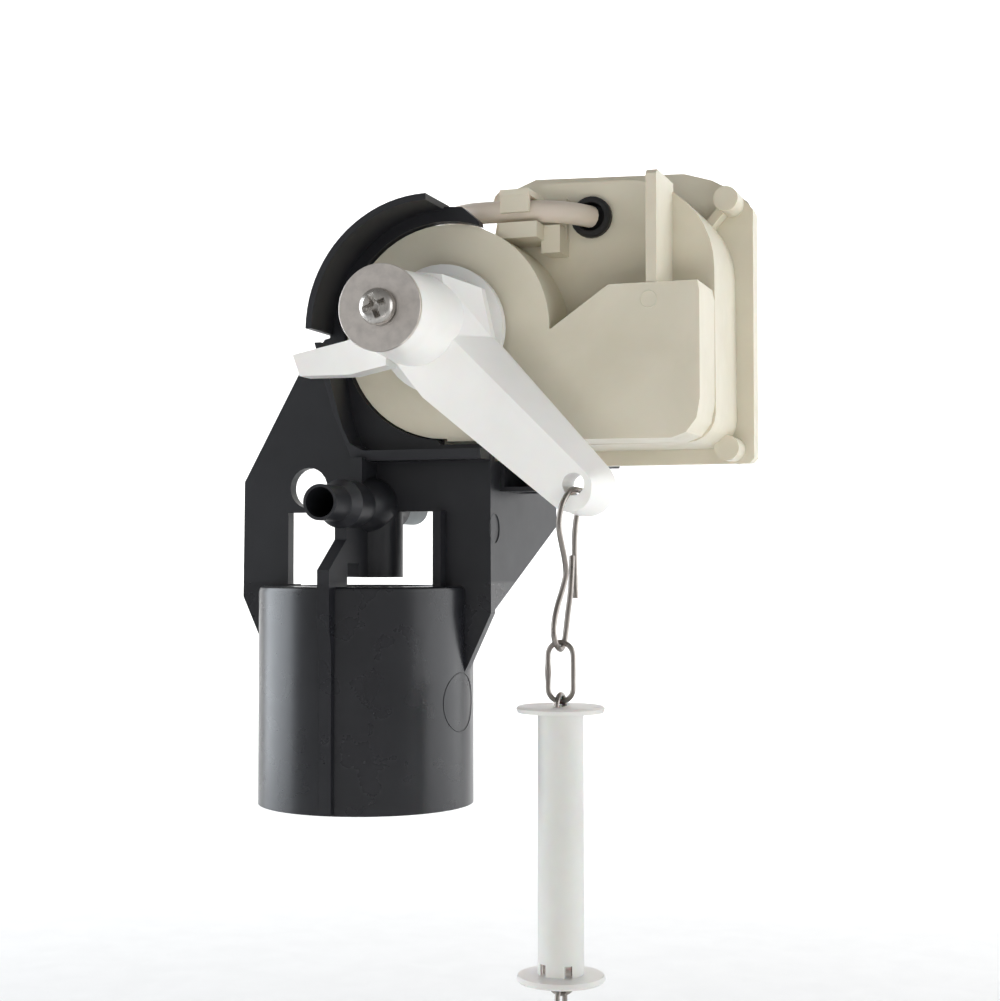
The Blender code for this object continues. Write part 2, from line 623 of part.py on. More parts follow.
def arm_beam():
    """The beam, whose upper and outer edge is a wide chamfer."""
    lower = [(12.6, 92.5), (13.1, 90.7), (19.6, 82.6)]
    back = lower + tip_arc(lambda t: TIP_R) + [(32.1, 94.8), (29.9, 104.7), (17.8, 108.6)]
    front = lower + tip_arc(lambda t: TIP_R - 2.7 * min(1.0, 1.6 * t)) + [(25.4, 94.5), (23.7, 106.9),
                                                                          (17.8, 107.6)]
    shape = bmesh.new()
    layers = []
    for y, outline in ((ARM_FRONT, front), (ARM_FRONT + 5.6, back), (ARM_BACK, back)):
        layers.append([shape.verts.new((x * MM, y * MM, z * MM)) for x, z in outline])
    shape.faces.new(layers[0])
    shape.faces.new(layers[-1][::-1])
    count = len(front)
    for near, far in zip(layers, layers[1:]):
        for i in range(count):
            j = (i + 1) % count
            shape.faces.new((near[i], far[i], far[j], near[j]))
    return from_bmesh("arm_beam", shape)


def lever_arm():
    hub = [(0, -34.4), (7.9, -34.4), (9.3, -18.0), (10.6, -8.0), (11.4, -4.2), (13.5, -3.4), (13.5, -1.2),
           (0, -1.2)]
    arm = turned("lever_arm", hub, AXIS, "Y", WHITE, steps=40)
    finger = prism("arm_finger", "XZ", [(-8.5, 92.1), (-6.9, 87.7), (4.0, 87.6), (12.0, 89.2), (12.0, 96.5),
                                        (2.7, 94.3)], -18.6, -13.4)
    add(arm, arm_beam(), finger)
    cut(arm, rod_y("shaft_bore", SHAFT_R + GAP, AXIS, (-40, 2), sides=28),
        rod_y("tip_hole", TIP_HOLE_R, TIP_HOLE, (-24, -4), sides=20))
    return arm


def arm_group():
    shaft = turned("output_shaft", [(0, -21.0), (1.95, -21.0), (1.95, -34.1), (SHAFT_R, -34.1),
                                    (SHAFT_R, 24.0), (0, 24.0)], AXIS, "Y", STEEL, steps=28)
    washer = turned("arm_washer", [(2.1, -35.7), (WASHER_R, -35.7), (WASHER_R, -34.7), (2.1, -34.7)], AXIS,
                    "Y", STEEL, steps=48, closed=True)
    fixing = screw("arm_screw", (AXIS[0], -35.7 - GAP, AXIS[1]), (0, 1, 0), 3.6, 2.4, 1.65, 13.0)
    cam = turned("position_cam", [(4.3, 19.2), (6.0, 19.2), (6.0, 22.0), (4.3, 22.0)], AXIS, "Y", ACETAL,
                 steps=28, closed=True)
    add(cam, box("cam_lobe", (AXIS[0] - 8.6, AXIS[0] - 5.2), (19.4, 21.8), (AXIS[1] - 1.6, AXIS[1] + 1.6)))
    return [lever_arm(), shaft, washer, fixing, cam]


# ---------------------------------------------------------------- chain

HOOK_POINTS = (
    (48.5, -9.2, 43.0), (48.3, -9.1, 48.5), (48.2, -8.9, 54.5), (48.6, -8.8, 59.0), (49.3, -8.8, 61.4),
    (50.0, -9.0, 62.8), (50.3, -10.2, 63.8), (50.2, -12.2, 64.0), (50.2, -17.2, 64.0), (50.0, -19.6, 63.1),
    (49.4, -21.2, 61.0), (48.9, -21.5, 58.5), (48.8, -21.2, 56.2), (49.0, -20.2, 53.4), (49.1, -18.6, 50.6),
    (49.0, -17.5, 48.0), (48.6, -17.9, 45.4), (47.9, -19.1, 42.0), (47.6, -20.4, 39.0), (47.6, -20.9, 36.6),
    (47.8, -20.1, 34.5), (48.0, -17.8, HOOK_BOTTOM_Z), (48.0, -15.5, 34.4), (48.1, -14.5, 36.8),
    (48.5, -14.4, 40.5), (48.9, -14.3, 43.8), (49.0, -13.7, 47.6), (48.7, -12.3, 51.2),
)


def link_points(top, length, facing_front):
    """An oval link, seen from the front or turned edge on."""
    straight = length - 2 * LINK_HALF
    points = []
    for i in range(8):
        angle = math.pi * i / 7
        points.append((LINK_HALF * math.cos(angle), top - LINK_HALF + LINK_HALF * math.sin(angle)))
    for i in range(8):
        angle = math.pi + math.pi * i / 7
        points.append((LINK_HALF * math.cos(angle),
                       top - LINK_HALF - straight + LINK_HALF * math.sin(angle)))
    if facing_front:
        return [(CHAIN_X + u, CHAIN_Y, z) for u, z in points]
    return [(CHAIN_X, CHAIN_Y + u, z) for u, z in points]


def chain_links():
    made, bottoms = [], []
    above = HOOK_BOTTOM_Z
    for i in range(LINK_COUNT):
        top = above + LINK_STEP
        length = FIRST_LINK if i == 0 else NEXT_LINK
        made.append(wire(f"chain_link_{i + 1}", link_points(top, length, i % 2 == 0), WIRE_R, STEEL, True))
        above = top - length
        bottoms.append(above)
    return made, bottoms


def float_tube():
    """The bobbin-shaped tube. The chain runs through slots in its two end discs."""
    top, bottom, disc = FLOAT_TOP, FLOAT_BOTTOM, 1.2
    profile = [
        (0, top), (FLOAT_DISC_R - 0.4, top), (FLOAT_DISC_R, top - 0.4), (FLOAT_DISC_R - 0.3, top - disc),
        (FLOAT_R, top - disc - 0.2), (FLOAT_R, bottom + disc + 0.2), (FLOAT_DISC_R - 0.3, bottom + disc),
        (FLOAT_DISC_R, bottom + 0.4), (FLOAT_DISC_R - 0.4, bottom), (0, bottom),
    ]
    tube = turned("float_tube", profile, (CHAIN_X, CHAIN_Y), "Z", WHITE, steps=36)
    x, y = CHAIN_X, CHAIN_Y
    cut(tube, rod("float_bore", FLOAT_BORE_R, (x, y, top - 1.3), (x, y, bottom + 1.3), sides=28),
        box("float_top_slot", (x - 0.9, x + 0.9), (y - 3.45, y + 3.45), (top - 4, top + 3)),
        box("float_bottom_slot", (x - 3.45, x + 3.45), (y - 0.9, y + 0.9), (bottom - 3, bottom + 4)))
    for i, side in enumerate((-2.5, 2.5)):
        cut(tube, box(f"float_window_{i}", (x + side - 0.65, x + side + 0.65), (y - 6, y - 2.2),
                      (bottom + 1.3, bottom + 3.6)))
    return tube


def end_hook(bar_z):
    """The open wire hook that goes on the flush valve's ear."""
    top = bar_z + LINK_STEP
    points = [(1.7, -3.6), (2.1, -2.0), (1.4, -0.5), (0.0, 0.0), (-1.5, -0.6), (-2.1, -2.2), (-1.6, -4.4),
              (0.2, -7.0), (2.0, -10.0), (2.9, -13.0)]
    points += arc((-0.3, -15.6), 3.2, 0, -180, 8)
    points += [(-3.5, -12.6), (-4.2, -10.4)]
    return wire("end_hook", [(CHAIN_X, CHAIN_Y + b, top + c) for b, c in points], WIRE_R + 0.05, STEEL)


# ---------------------------------------------------------------- power lead

def power_lead():
    lead = wire("power_lead", smooth(LEAD_ROUTE, 4.6), LEAD_R, LEAD)
    ring = turned("lead_coil", [(COIL_R - COIL_HALF, COIL_Y - COIL_HALF), (COIL_R + COIL_HALF, COIL_Y - COIL_HALF),
                                (COIL_R + COIL_HALF, COIL_Y + COIL_HALF), (COIL_R - COIL_HALF, COIL_Y + COIL_HALF)],
                  COIL, "Y", LEAD, steps=40, closed=True)
    bend = [(x, TAIL_Y, z) for x, z in arc(TAIL_CENTRE, TAIL_R, 125, 180, 6)]
    end_x = TAIL_CENTRE[0] - TAIL_R
    tail = wire("lead_tail", [*bend, (end_x, TAIL_Y, TAIL_END)], LEAD_R, LEAD)
    low = COIL[1] - COIL_R
    reach, inside = COIL_HALF + 1.1, COIL_HALF + 0.3
    outer = [(COIL_Y - reach, low - reach), (COIL_Y + reach, low - reach), (COIL_Y + reach, low + reach),
             (COIL_Y - reach, low + reach)]
    inner = [(COIL_Y - inside, low - inside), (COIL_Y + inside, low - inside), (COIL_Y + inside, low + inside),
             (COIL_Y - inside, low + inside)]
    tie = prism("lead_tie", "YZ", outer, COIL[0] - 1.5, COIL[0] + 1.5, BLACK, holes=[inner])
    width, depth, length = CONNECTOR
    top = TAIL_END - GAP
    plug = box("lead_connector", (end_x - width / 2, end_x + width / 2), (TAIL_Y - depth / 2, TAIL_Y + depth / 2),
               (top - length, top), WHITE)
    return [lead, ring, tail, tie, plug]


# ---------------------------------------------------------------- assembly

def assemble():
    bracket()
    refill_port_plug()
    gear_case()
    back_cover()
    cover_gasket()
    housing_screws()
    grommet()
    gear_plate_and_axles()
    motor()
    electronics()
    bearings()
    power_lead()
    output, second, first, pinion = gear_train()
    pivot("arm_axis", (AXIS[0], 0, AXIS[1]), [*arm_group(), output])
    pivot("second_gear_axis", (SECOND[0], 0, SECOND[1]), [second])
    pivot("first_gear_axis", (FIRST[0], 0, FIRST[1]), [first])
    pivot("motor_axis", (MOTOR[0], 0, MOTOR[1]), [pinion])
    pivot("hook_axis", HOOK_PIVOT, [wire("wire_hook", smooth(HOOK_POINTS, 2.2), WIRE_R + 0.05, STEEL)])
    links, bottoms = chain_links()
    pivot("first_link_axis", (CHAIN_X, CHAIN_Y, HOOK_BOTTOM_Z + LINK_STEP / 2), links[:1])
    pivot("float_axis", (CHAIN_X, CHAIN_Y, bottoms[0] + LINK_STEP / 2), [*links[1:7], float_tube()])
    pivot("eighth_link_axis", (CHAIN_X, CHAIN_Y, bottoms[6] + LINK_STEP / 2), links[7:8])
    pivot("ninth_link_axis", (CHAIN_X, CHAIN_Y, bottoms[7] + LINK_STEP / 2), links[8:])
    pivot("end_hook_axis", (CHAIN_X, CHAIN_Y, bottoms[8] + LINK_STEP / 2), [end_hook(bottoms[8])])


assemble()
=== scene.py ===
"""The looks of the cistern flush actuator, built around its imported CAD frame.

Lengths are millimetres in the row frame, +X right, +Y back, +Z up, and MM turns them into metres. The stage, the
lights and the materials' own settings are in metres, as their comments say.
"""

import math

import bmesh
import bpy
from mathutils import Matrix, Vector


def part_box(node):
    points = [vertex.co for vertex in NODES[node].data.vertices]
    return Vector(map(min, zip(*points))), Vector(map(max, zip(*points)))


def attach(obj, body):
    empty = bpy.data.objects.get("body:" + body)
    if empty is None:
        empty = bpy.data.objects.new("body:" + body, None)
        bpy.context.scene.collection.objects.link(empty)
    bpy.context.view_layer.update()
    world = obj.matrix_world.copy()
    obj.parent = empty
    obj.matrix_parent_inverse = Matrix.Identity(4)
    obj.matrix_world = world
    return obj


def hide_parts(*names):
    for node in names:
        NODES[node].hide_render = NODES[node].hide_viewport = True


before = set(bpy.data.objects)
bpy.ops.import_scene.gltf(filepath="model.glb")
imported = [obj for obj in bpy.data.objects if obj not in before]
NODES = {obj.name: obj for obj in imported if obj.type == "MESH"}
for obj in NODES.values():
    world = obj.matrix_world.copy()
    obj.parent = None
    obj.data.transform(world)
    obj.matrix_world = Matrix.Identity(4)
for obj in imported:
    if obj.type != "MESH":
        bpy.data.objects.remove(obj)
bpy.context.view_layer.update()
MM = 0.001

# Camera
CAMERA_AT = (143.07, -329.84, 50.07)
CAMERA_LOOK = (-0.325, 0.945, 0.0362)
CAMERA_LENS = 61.2
SENSOR_WIDTH = 36
CLIP_START = 0.01

# Stage and lights, in metres and watts
FLOOR_Z, FLOOR_REACH = -0.095, 30.0
SWEEP_FROM, SWEEP_R, SWEEP_STEPS, BACKDROP_TOP = 1.2, 0.8, 12, 2.6
SKY_COLOUR = (1.0, 0.99, 0.97, 1)
SKY_BELOW, SKY_ABOVE, SKY_FROM, SKY_TO = 0.52, 0.22, 0.1, 0.8
LIGHT_TARGET = (0.03, 0, 0.05)
LIGHTS = (
    # name, place, target, size, power, colour, seen in reflections
    ("right_softbox", (0.75, 0.24, 0.05), LIGHT_TARGET, (1.05, 0.9), 6.4, (0.96, 0.98, 1.0), True),
    ("left_softbox", (-0.8, -0.08, 0.05), LIGHT_TARGET, (0.75, 0.9), 9.0, (0.88, 0.94, 1.0), True),
    ("low_fill", (0.12, -0.32, -0.05), (0.03, 0, 0.03), (0.36, 0.1), 0.42, (1.0, 0.98, 0.95), False),
    ("backdrop_light", (-0.8, 0.9, 1.2), (-0.8, 2.0, 0.2), (3.2, 0.6), 44.0, (1, 1, 1), True),
)

# Shared settings for rounded edges
BEVEL_STEPS, BEVEL_ANGLE = 3, math.radians(28)
SMALL_BEVEL_STEPS, SMALL_BEVEL_ANGLE = 2, math.radians(35)
NORMAL_WEIGHT = 80
# Points nearer than this (metres) are merged, and faces flatter than this (radians) are joined
MERGE_DISTANCE, FLAT_ANGLE = 2e-6, 0.006

# Sizes that part.py also holds, and the height where the polished sleeve ends
ARM_AXIS = (17.8, 98.1)
SLEEVE_R = 22.5
POLISHED_TO_Z, FADE_HEIGHT, ROUGHER_BY = 45.6, 0.6, 0.16
WIRE_R, HOOK_WIRE_R = 0.5, 0.55
CHAIN_X, CHAIN_Y = 48.0, -17.8
HOOK_BOTTOM_Z, LINK_STEP = 33.4, 1.35
LINK_HALF = 2.5
FIRST_LINK, NEXT_LINK = 11.3, 10.55
LINK_BODIES = ["first_link"] + ["float"] * 6 + ["eighth_link", "ninth_link"]
ARC_STEPS, SIDE_STEPS = 24, 8
WELD_ON_FRONT_LINK, WELD_ON_SIDE_LINK = 28, 60
WELD_SWELL, WELD_SPREAD = 0.35, 1.3
WIRE_STEP = 0.6
HOOK_POINTS = (
    (48.5, -9.2, 43.0), (48.3, -9.1, 48.5), (48.2, -8.9, 54.5), (48.6, -8.8, 59.0), (49.3, -8.8, 61.4),
    (50.0, -9.0, 62.8), (50.3, -10.2, 63.8), (50.2, -12.2, 64.0), (50.2, -17.2, 64.0), (50.0, -19.6, 63.1),
    (49.4, -21.2, 61.0), (48.9, -21.5, 58.5), (48.8, -21.2, 56.2), (49.0, -20.2, 53.4), (49.1, -18.6, 50.6),
    (49.0, -17.5, 48.0), (48.6, -17.9, 45.4), (47.9, -19.1, 42.0), (47.6, -20.4, 39.0), (47.6, -20.9, 36.6),
    (47.8, -20.1, 34.5), (48.0, -17.8, HOOK_BOTTOM_Z), (48.0, -15.5, 34.4), (48.1, -14.5, 36.8),
    (48.5, -14.4, 40.5), (48.9, -14.3, 43.8), (49.0, -13.7, 47.6), (48.7, -12.3, 51.2),
)

# The end hook's route, as (Y, Z) from the place where it hangs
END_HOOK_SHANK = (
    (1.7, -3.6), (2.1, -2.0), (1.4, -0.5), (0.0, 0.0), (-1.5, -0.6), (-2.1, -2.2), (-1.6, -4.4), (0.2, -7.0),
    (2.0, -10.0), (2.9, -13.0),
)
END_HOOK_BEND, END_HOOK_BEND_R, END_HOOK_BEND_STEPS = (-0.3, -15.6), 3.2, 8
END_HOOK_TIP = ((-3.5, -12.6), (-4.2, -10.4))

# Power lead: its route out of the grommet, the stored turns, and the free end
LEAD_R = 2.3
LEAD_ROUTE = (
    (45.4, 13.1, 122.8), (43.6, 10.2, 122.9), (40.6, 8.0, 123.1), (36.5, 7.0, 123.4), (31.0, 7.0, 123.7),
    (25.0, 7.6, 124.0), (19.5, 9.6, 124.4), (15.0, 13.6, 124.8), (12.4, 19.5, 125.0), (11.6, 27.0, 125.0),
    (11.6, 33.0, 125.0), (11.6, 39.6, 124.8), (11.6, 43.8, 123.8), (11.6, 47.0, 121.2), (11.6, 48.5, 117.4),
    (11.6, 48.75, 111.5),
)
COIL, COIL_Y, COIL_R = (38.0, 105.0), 52.0, 26.4
TURN_OFFSET = 3.28
COIL_TURNS, STEPS_PER_TURN = 3.6, 44
TAIL_CENTRE, TAIL_R, TAIL_Y, TAIL_END = (50.0, 113.8), 9.6, 49.4, 108.0
TAIL_FROM, TAIL_SWEEP, TAIL_STEPS = 52, 128, 14
ROUTE_STEP, COIL_STEP = 2.0, 2.4


def polar(centre, radius, degrees):
    angle = math.radians(degrees)
    return (centre[0] + radius * math.cos(angle), centre[1] + radius * math.sin(angle))


def smooth(points, step):
    """Points about a step apart, along a smooth curve through the given ones."""
    route = [Vector(p) for p in points]
    ends = [route[0] * 2 - route[1]] + route + [route[-1] * 2 - route[-2]]
    made = []
    for i in range(1, len(ends) - 2):
        a, b, c, d = ends[i - 1:i + 3]
        count = max(1, round((c - b).length / step))
        for k in range(count):
            t = k / count
            made.append(0.5 * ((2 * b) + (c - a) * t + (2 * a - 5 * b + 4 * c - d) * t ** 2
                               + (3 * b - a - 3 * c + d) * t ** 3))
    return made + [route[-1]]


# ---------------------------------------------------------------- camera, floor and light

def link(name, data):
    obj = bpy.data.objects.new(name, data)
    bpy.context.scene.collection.objects.link(obj)
    return obj


def make_camera():
    data = bpy.data.cameras.new("camera")
    data.sensor_fit = "HORIZONTAL"
    data.sensor_width = SENSOR_WIDTH
    data.lens = CAMERA_LENS
    data.clip_start = CLIP_START
    camera = link("camera", data)
    camera.location = Vector(CAMERA_AT) * MM
    camera.rotation_euler = Vector(CAMERA_LOOK).to_track_quat("-Z", "Y").to_euler()
    bpy.context.scene.camera = camera


def area_light(name, at, target, size, power, colour, in_reflections):
    data = bpy.data.lights.new(name, "AREA")
    data.shape = "RECTANGLE"
    data.size, data.size_y = size
    data.energy = power
    data.color = colour
    light = link(name, data)
    light.location = at
    light.rotation_euler = (Vector(target) - Vector(at)).to_track_quat("-Z", "Y").to_euler()
    light.visible_glossy = in_reflections


def make_stage():
    """A floor that sweeps up into a backdrop behind the object, a dim sky, and four soft lights."""
    shape = bmesh.new()
    profile = [(-FLOOR_REACH, 0.0), (SWEEP_FROM, 0.0)]
    for i in range(1, SWEEP_STEPS + 1):
        angle = math.pi / 2 * i / SWEEP_STEPS
        profile.append((SWEEP_FROM + SWEEP_R * math.sin(angle), SWEEP_R * (1 - math.cos(angle))))
    profile.append((SWEEP_FROM + SWEEP_R, BACKDROP_TOP))
    rows = [[shape.verts.new((x, y, z + FLOOR_Z)) for x in (-FLOOR_REACH, FLOOR_REACH)] for y, z in profile]
    for near, far in zip(rows, rows[1:]):
        shape.faces.new((near[0], near[1], far[1], far[0])).smooth = True
    data = bpy.data.meshes.new("floor")
    shape.to_mesh(data)
    shape.free()
    floor = link("floor", data)
    pale = plastic("pale_floor", (0.86, 0.86, 0.86), (0.88, 0.88, 0.88), 0.7, 300, 0.05)
    floor.data.materials.append(pale)
    world = bpy.data.worlds.new("studio")
    bpy.context.scene.world = world
    world.use_nodes = True
    tree = world.node_tree
    background = tree.nodes["Background"]
    background.inputs["Color"].default_value = SKY_COLOUR
    split = new_node(tree, "ShaderNodeSeparateXYZ")
    tree.links.new(new_node(tree, "ShaderNodeTexCoord").outputs["Generated"], split.inputs[0])
    strength = remap(tree, split.outputs["Z"], SKY_BELOW, SKY_ABOVE, SKY_FROM, SKY_TO)
    tree.links.new(strength, background.inputs["Strength"])
    for light in LIGHTS:
        area_light(*light)


# ---------------------------------------------------------------- materials
# Noise scales are per metre, and bump distances are metres.

def principled(name, colour, roughness, metallic=0.0, **sockets):
    made = bpy.data.materials.new(name)
    made.use_nodes = True
    shader = made.node_tree.nodes["Principled BSDF"]
    shader.inputs["Base Color"].default_value = (*colour, 1)
    shader.inputs["Roughness"].default_value = roughness
    shader.inputs["Metallic"].default_value = metallic
    for socket, value in sockets.items():
        shader.inputs[socket.replace("_", " ")].default_value = value
    return made, made.node_tree, shader


def new_node(tree, kind, **values):
    node = tree.nodes.new(kind)
    for name, value in values.items():
        if name in node.inputs:
            node.inputs[name].default_value = value
        else:
            setattr(node, name, value)
    return node


def position(tree, scale=(1, 1, 1), at=(0, 0, 0), turn=(0, 0, 0)):
    """Object coordinates, which are metres in the row frame, moved and stretched."""
    source = new_node(tree, "ShaderNodeTexCoord")
    mapping = new_node(tree, "ShaderNodeMapping")
    mapping.inputs["Location"].default_value = at
    mapping.inputs["Rotation"].default_value = turn
    mapping.inputs["Scale"].default_value = scale
    tree.links.new(source.outputs["Object"], mapping.inputs["Vector"])
    return mapping.outputs["Vector"]


def noise(tree, vector, scale, detail=3.0, distortion=0.0):
    node = new_node(tree, "ShaderNodeTexNoise", Scale=scale, Detail=detail, Distortion=distortion)
    tree.links.new(vector, node.inputs["Vector"])
    return node.outputs["Fac"]


def remap(tree, value, low, high, start=0.35, end=0.65):
    node = new_node(tree, "ShaderNodeMapRange")
    node.inputs["From Min"].default_value = start
    node.inputs["From Max"].default_value = end
    node.inputs["To Min"].default_value = low
    node.inputs["To Max"].default_value = high
    tree.links.new(value, node.inputs["Value"])
    return node.outputs["Result"]


def ramp(tree, value, stops):
    node = new_node(tree, "ShaderNodeValToRGB")
    elements = node.color_ramp.elements
    for element, (at, colour) in zip(elements, (stops[0], stops[-1])):
        element.position = at
        element.color = (*colour, 1)
    for at, colour in stops[1:-1]:
        elements.new(at).color = (*colour, 1)
    tree.links.new(value, node.inputs["Fac"])
    return node.outputs["Color"]


def bumps(tree, shader, heights):
    """Chained bumps. Each is (height, strength, distance in metres)."""
    normal = None
    for height, strength, distance in heights:
        node = new_node(tree, "ShaderNodeBump", Strength=strength, Distance=distance)
        tree.links.new(height, node.inputs["Height"])
        if normal is not None:
            tree.links.new(normal, node.inputs["Normal"])
        normal = node.outputs["Normal"]
    tree.links.new(normal, shader.inputs["Normal"])


def plastic(name, dark, light, roughness, grain=1800, strength=0.12, rub_marks=0.45, uneven=0.075,
            **sockets):
    """Moulded plastic: a cloudy colour, a fine tool texture, patchy gloss and faint rub marks."""
    made, tree, shader = principled(name, light, roughness, **sockets)
    where = position(tree)
    cloud = noise(tree, where, 70, 4, 0.4)
    tree.links.new(ramp(tree, cloud, [(0.35, dark), (0.65, light)]), shader.inputs["Base Color"])
    rub = noise(tree, position(tree, (40, 900, 260), turn=(0.3, 0.5, 0.2)), 1.0, 5, 0.6)
    patch = noise(tree, where, 160, 5, 0.2)
    blend = new_node(tree, "ShaderNodeMath", operation="MULTIPLY_ADD")
    tree.links.new(rub, blend.inputs[0])
    blend.inputs[1].default_value = rub_marks
    tree.links.new(patch, blend.inputs[2])
    gloss = remap(tree, blend.outputs[0], roughness - uneven, roughness + uneven,
                  0.35 + rub_marks / 3, 0.65 + rub_marks * 2 / 3)
    tree.links.new(gloss, shader.inputs["Roughness"])
    bumps(tree, shader, [
        (noise(tree, where, grain, 2), strength, 0.00006),
        (rub, strength * rub_marks, 0.00003),
        (cloud, strength * 0.5, 0.0003),
    ])
    return made


def metal(name, colour, roughness, stretch=(1, 1, 1), centre=None, strength=0.12):
    """Metal with drawn lines along a stretch, or turned rings round a centre in the XZ plane."""
    made, tree, shader = principled(name, colour, roughness, 1.0)
    if centre is None:
        lines = noise(tree, position(tree, stretch), 1.0, 5)
    else:
        moved = position(tree, (1, 0, 1), (-centre[0] * MM, 0, -centre[1] * MM))
        distance = new_node(tree, "ShaderNodeVectorMath", operation="LENGTH")
        tree.links.new(moved, distance.inputs[0])
        rings = new_node(tree, "ShaderNodeTexNoise", Scale=5200, Detail=3)
        rings.noise_dimensions = "1D"
        tree.links.new(distance.outputs["Value"], rings.inputs["W"])
        lines = rings.outputs["Fac"]
    stain = noise(tree, position(tree), 420, 4)
    tree.links.new(remap(tree, lines, roughness - 0.06, roughness + 0.12), shader.inputs["Roughness"])
    darker = tuple(c * 0.82 for c in colour)
    tree.links.new(ramp(tree, stain, [(0.3, darker), (0.6, colour)]), shader.inputs["Base Color"])
    bumps(tree, shader, [(lines, strength, 0.00003), (stain, strength * 0.5, 0.00004)])
    return made


def build_materials():
    made = {
        "black_plastic": plastic("black_plastic", (0.011, 0.0115, 0.0145), (0.015, 0.0155, 0.019), 0.28,
                                 1100, 0.03, rub_marks=0.12, uneven=0.015),
        "cream_plastic": plastic("cream_plastic", (0.70, 0.655, 0.53), (0.75, 0.705, 0.58), 0.42,
                                 1500, 0.10, Subsurface_Weight=0.12, Subsurface_Scale=0.002),
        "white_plastic": plastic("white_plastic", (0.88, 0.875, 0.85), (0.92, 0.915, 0.895), 0.36,
                                 1500, 0.07, Subsurface_Weight=0.15, Subsurface_Scale=0.002),
        "float_plastic": plastic("float_plastic", (0.87, 0.85, 0.82), (0.92, 0.905, 0.88), 0.42,
                                 1200, 0.08, Transmission_Weight=0.35, IOR=1.3, Subsurface_Weight=0.2,
                                 Subsurface_Scale=0.003),
        "rubber": plastic("rubber", (0.010, 0.010, 0.011), (0.018, 0.018, 0.019), 0.55, 2600, 0.2),
        # The refill port plug is dark plastic lit from behind: this grey-blue colour is painted sheen
        "grey_rubber": plastic("grey_rubber", (0.26, 0.30, 0.31), (0.36, 0.40, 0.41), 0.45, 1900),
        "lead_jacket": plastic("lead_jacket", (0.66, 0.57, 0.48), (0.74, 0.66, 0.57), 0.42, 1700, 0.1,
                               Subsurface_Weight=0.1, Subsurface_Scale=0.001),
        "connector_plastic": plastic("connector_plastic", (0.80, 0.79, 0.74), (0.86, 0.85, 0.80), 0.38),
        "gear_acetal": plastic("gear_acetal", (0.76, 0.74, 0.68), (0.82, 0.80, 0.74), 0.32),
        "circuit_board": plastic("circuit_board", (0.02, 0.13, 0.05), (0.03, 0.18, 0.07), 0.4, 900, 0.2),
        "stainless_steel": metal("stainless_steel", (0.60, 0.575, 0.545), 0.24, (700, 700, 90)),
        "wire_steel": metal("wire_steel", (0.34, 0.31, 0.285), 0.3, (700, 700, 90)),
        "washer_steel": metal("washer_steel", (0.78, 0.73, 0.69), 0.36, centre=ARM_AXIS, strength=0.08),
        "motor_steel": metal("motor_steel", (0.52, 0.52, 0.52), 0.33, (600, 60, 600)),
        "brass": metal("brass", (0.72, 0.52, 0.24), 0.28, (500, 80, 500)),
        "bronze": metal("bronze", (0.50, 0.33, 0.17), 0.5, (900, 900, 900), strength=0.3),
    }
    roughen_above(made["black_plastic"], POLISHED_TO_Z)
    return made


def roughen_above(finish, height):
    """The sleeve is polished. What stands above it is less glossy."""
    tree = finish.node_tree
    shader = tree.nodes["Principled BSDF"]
    split = new_node(tree, "ShaderNodeSeparateXYZ")
    tree.links.new(position(tree), split.inputs[0])
    rise = remap(tree, split.outputs["Z"], 0.0, ROUGHER_BY, height * MM, (height + FADE_HEIGHT) * MM)
    total = new_node(tree, "ShaderNodeMath", operation="ADD")
    tree.links.new(shader.inputs["Roughness"].links[0].from_socket, total.inputs[0])
    tree.links.new(rise, total.inputs[1])
    tree.links.new(total.outputs[0], shader.inputs["Roughness"])


# ---------------------------------------------------------------- shapes

def round_edges(piece, bevel, steps, angle):
    """Adds rounded edges and even shading, as modifiers that are given back for further settings."""
    rounding = piece.modifiers.new("rounding", "BEVEL")
    rounding.width = bevel * MM
    rounding.segments = steps
    rounding.limit_method = "ANGLE"
    rounding.angle_limit = angle
    even = piece.modifiers.new("even_shading", "WEIGHTED_NORMAL")
    even.weight = NORMAL_WEIGHT
    return rounding, even


def refined(node, body, finish, slot, bevel):
    """A CAD solid with its hard edges rounded, its curved faces shaded smooth, and a finish."""
    shape = bmesh.new()
    shape.from_mesh(NODES[node].data)
    bmesh.ops.remove_doubles(shape, verts=shape.verts[:], dist=MERGE_DISTANCE)
    bmesh.ops.dissolve_limit(shape, angle_limit=FLAT_ANGLE, verts=shape.verts[:], edges=shape.edges[:])
    for face in shape.faces:
        face.smooth = True
    name = node + "_detail"
    data = bpy.data.meshes.new(name)
    shape.to_mesh(data)
    shape.free()
    piece = link(name, data)
    rounding, even = round_edges(piece, bevel, BEVEL_STEPS, BEVEL_ANGLE)
    rounding.use_clamp_overlap = True
    rounding.miter_outer = "MITER_ARC"
    even.keep_sharp = True
    data.materials.append(finish)
    return settle(piece, body, slot, node)


def settle(piece, body, slot, *nodes):
    """The piece rides the body and stands for the CAD nodes if any are given. The slot is not used."""
    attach(piece, body)
    if nodes:
        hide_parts(*nodes)
    return piece


def wire(name, points, radius, finish, closed=False, radii=None):
    """A round wire through points, in millimetres."""
    curve = bpy.data.curves.new(name, "CURVE")
    curve.dimensions = "3D"
    curve.bevel_depth = radius * MM
    curve.bevel_resolution = 5
    curve.use_fill_caps = True
    spline = curve.splines.new("POLY")
    spline.points.add(len(points) - 1)
    for i, (point, at) in enumerate(zip(spline.points, points)):
        point.co = (*(Vector(at) * MM), 1)
        if radii:
            point.radius = radii[i]
    spline.use_cyclic_u = closed
    spline.use_smooth = True
    curve.materials.append(finish)
    return link(name, curve)


